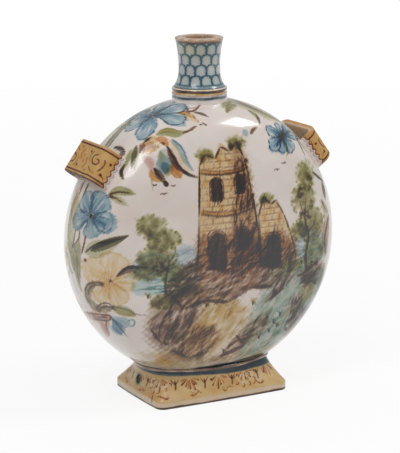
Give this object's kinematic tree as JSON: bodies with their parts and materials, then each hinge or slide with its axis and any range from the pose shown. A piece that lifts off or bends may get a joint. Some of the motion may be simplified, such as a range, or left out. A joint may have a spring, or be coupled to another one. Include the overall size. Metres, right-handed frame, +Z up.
{
  "type": "pilgrim flask",
  "caption": "Painted tin-glazed flask: a lens-shaped two-shell body on a flared rectangular foot, with a waisted neck and two strap loops at the shoulders.",
  "frame": {"origin": "centre of the foot's base, on the surface that the flask stands on", "axes": "+Z up along the neck, X from the left strap loop to the right one, -Y out of the painted front"},
  "size_m": [0.237, 0.117, 0.3],
  "materials": {
    "body_glaze": "glossy tin glaze, painted",
    "bare_clay": "bare fired clay",
    "neck_glaze": "glossy tin glaze with a blue scale pattern",
    "collar_glaze": "glossy tin glaze with yellow and brown bands",
    "moulding_glaze": "glossy tin glaze, brown between dark blue lines",
    "foot_glaze": "glossy yellow glaze with brown palmettes",
    "loop_glaze": "glossy yellow glaze with brown scrolls"
  },
  "bodies": {
    "root": {"front_shell": "body_glaze", "back_shell": "body_glaze", "seam_coil": "bare_clay", "neck": "neck_glaze", "neck_collar": "collar_glaze", "waist_moulding": "moulding_glaze", "foot": "foot_glaze", "left_strap_loop": "loop_glaze", "right_strap_loop": "loop_glaze"}
  },
  "joints": []
}
